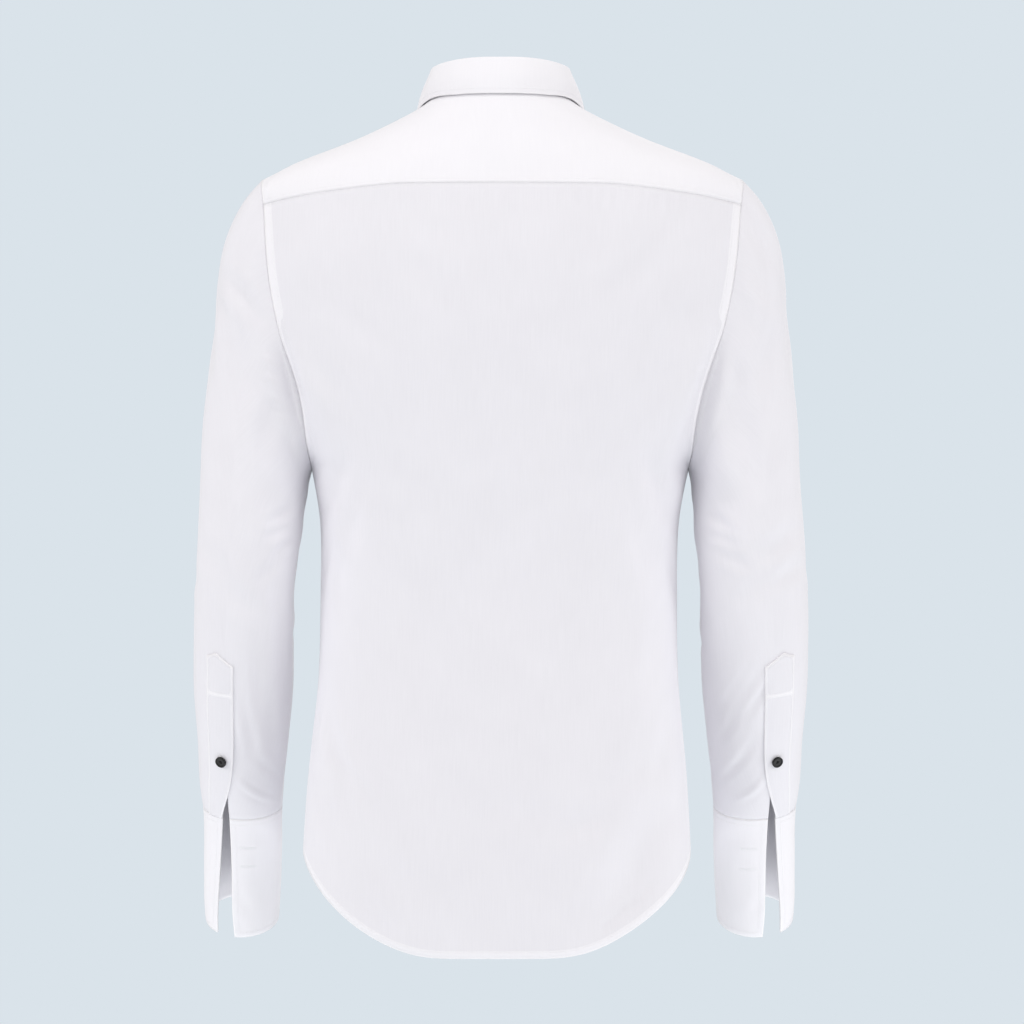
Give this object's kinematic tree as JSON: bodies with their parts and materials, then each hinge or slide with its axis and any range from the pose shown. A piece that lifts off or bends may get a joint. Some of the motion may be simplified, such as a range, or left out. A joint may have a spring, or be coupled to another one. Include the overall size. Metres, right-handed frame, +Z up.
{
  "type": "long sleeve dress shirt",
  "caption": "White long sleeve dress shirt, filled out and hollow, with a fold-down collar, back yoke, buttoned front placket, sleeve plackets and open cuffs.",
  "frame": {"origin": "middle of the neck opening, level with the points where the yoke meets the collar at the sides, where the wearer's shoulders hold the shirt", "axes": "+Z up along the body, -Y out of the buttoned front, +Y out of the back, +X to the wearer's left"},
  "size_m": [0.5544, 0.2633, 0.7964],
  "materials": {
    "white_poplin": "pressed cotton poplin",
    "black_button": "polished"
  },
  "bodies": {
    "root": {"back": "white_poplin", "yoke": "white_poplin", "front_left": "white_poplin", "front_right": "white_poplin", "front_placket": "white_poplin", "collar_stand": "white_poplin", "collar_leaf": "white_poplin", "sleeve_left": "white_poplin", "sleeve_right": "white_poplin", "sleeve_placket_left": "white_poplin", "sleeve_placket_right": "white_poplin", "cuff_left": "white_poplin", "cuff_right": "white_poplin", "collar_button": "black_button", "front_button_1": "black_button", "front_button_2": "black_button", "front_button_3": "black_button", "front_button_4": "black_button", "front_button_5": "black_button", "front_button_6": "black_button", "front_button_7": "black_button", "sleeve_button_left": "black_button", "sleeve_button_right": "black_button"}
  },
  "joints": []
}
